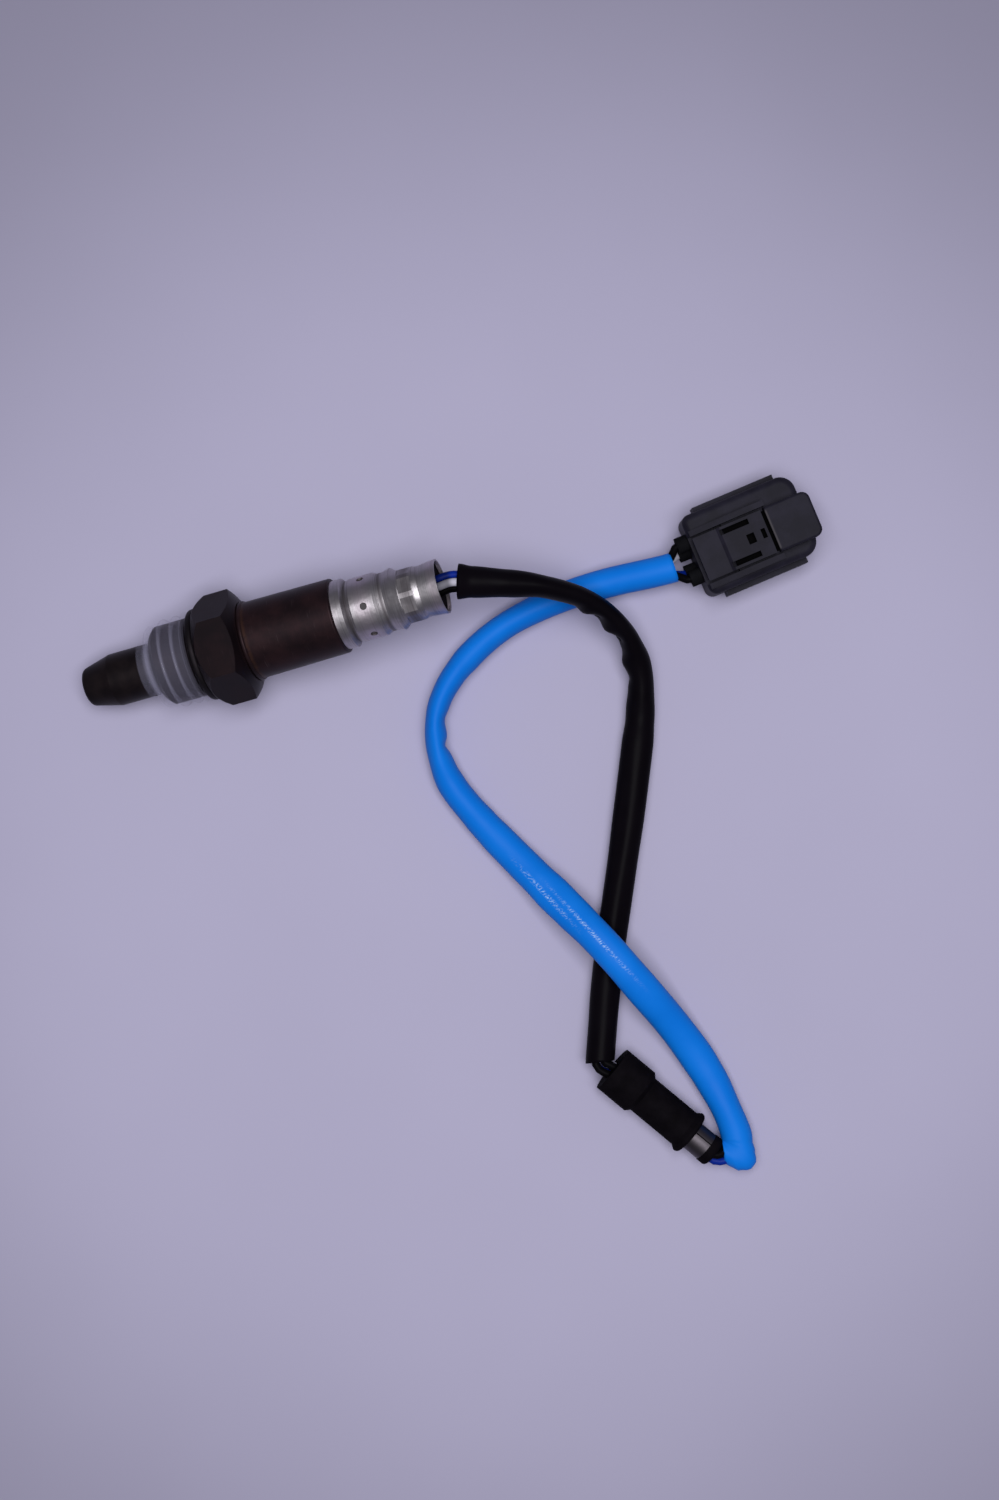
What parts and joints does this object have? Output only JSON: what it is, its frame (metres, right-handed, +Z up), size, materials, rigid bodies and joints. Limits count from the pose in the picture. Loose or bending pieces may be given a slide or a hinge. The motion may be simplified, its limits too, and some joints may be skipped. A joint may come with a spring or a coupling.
{
  "type": "oxygen sensor",
  "caption": "Heated exhaust gas sensor with a hexagon and capped thread, a crimped cable end, a sleeved four-wire lead with a harness grommet, and a locking plug.",
  "frame": {"origin": "centre of the sensor's bounding box in plan, on the surface it lies on; the lead and the plug are not counted", "axes": "+X along the sensor in plan, from its nose towards its lead; +Z up from the surface"},
  "size_m": [0.1688, 0.1557, 0.0277],
  "materials": {
    "tinted_steel": "heat-tinted, satin",
    "bright_steel": "bright, drawn",
    "gasket_steel": "plated",
    "plain_steel": "plain",
    "cap_plastic": "translucent, moulded",
    "white_ceramic": "fired, matt",
    "talc": "pressed powder",
    "filter_white": "porous",
    "black_rubber": "moulded",
    "blue_insulation": "satin",
    "white_insulation": "satin",
    "black_insulation": "satin",
    "blue_sleeving": "satin",
    "black_sleeving": "satin",
    "band_steel": "rolled",
    "plug_plastic": "moulded",
    "inner_plastic": "moulded",
    "orange_rubber": "moulded",
    "tinned_brass": "tinned"
  },
  "bodies": {
    "root": {"metal_shell": "tinted_steel", "sealing_gasket": "gasket_steel", "thread_cap": "cap_plastic", "outer_protector": "tinted_steel", "inner_protector": "plain_steel", "sensing_element": "white_ceramic", "front_holder": "white_ceramic", "talc_seal": "talc", "ceramic_sleeve": "white_ceramic", "packing_ring": "plain_steel", "rear_insulator": "white_ceramic", "insulator_clip": "plain_steel", "contact_terminals": "plain_steel", "rear_sleeve": "tinted_steel", "filter_cover": "bright_steel", "vent_filter": "filter_white", "filter_tube": "plain_steel", "wire_grommet": "black_rubber", "wire_blue": "blue_insulation", "wire_white": "white_insulation", "wire_black_1": "black_insulation", "wire_black_2": "black_insulation", "black_sleeving": "black_sleeving", "blue_sleeving": "blue_sleeving", "harness_grommet": "black_rubber", "grommet_band": "band_steel", "plug_housing": "plug_plastic", "terminal_holder": "inner_plastic", "plug_seal": "orange_rubber", "wire_seals": "black_rubber", "plug_terminals": "tinned_brass"}
  },
  "joints": []
}
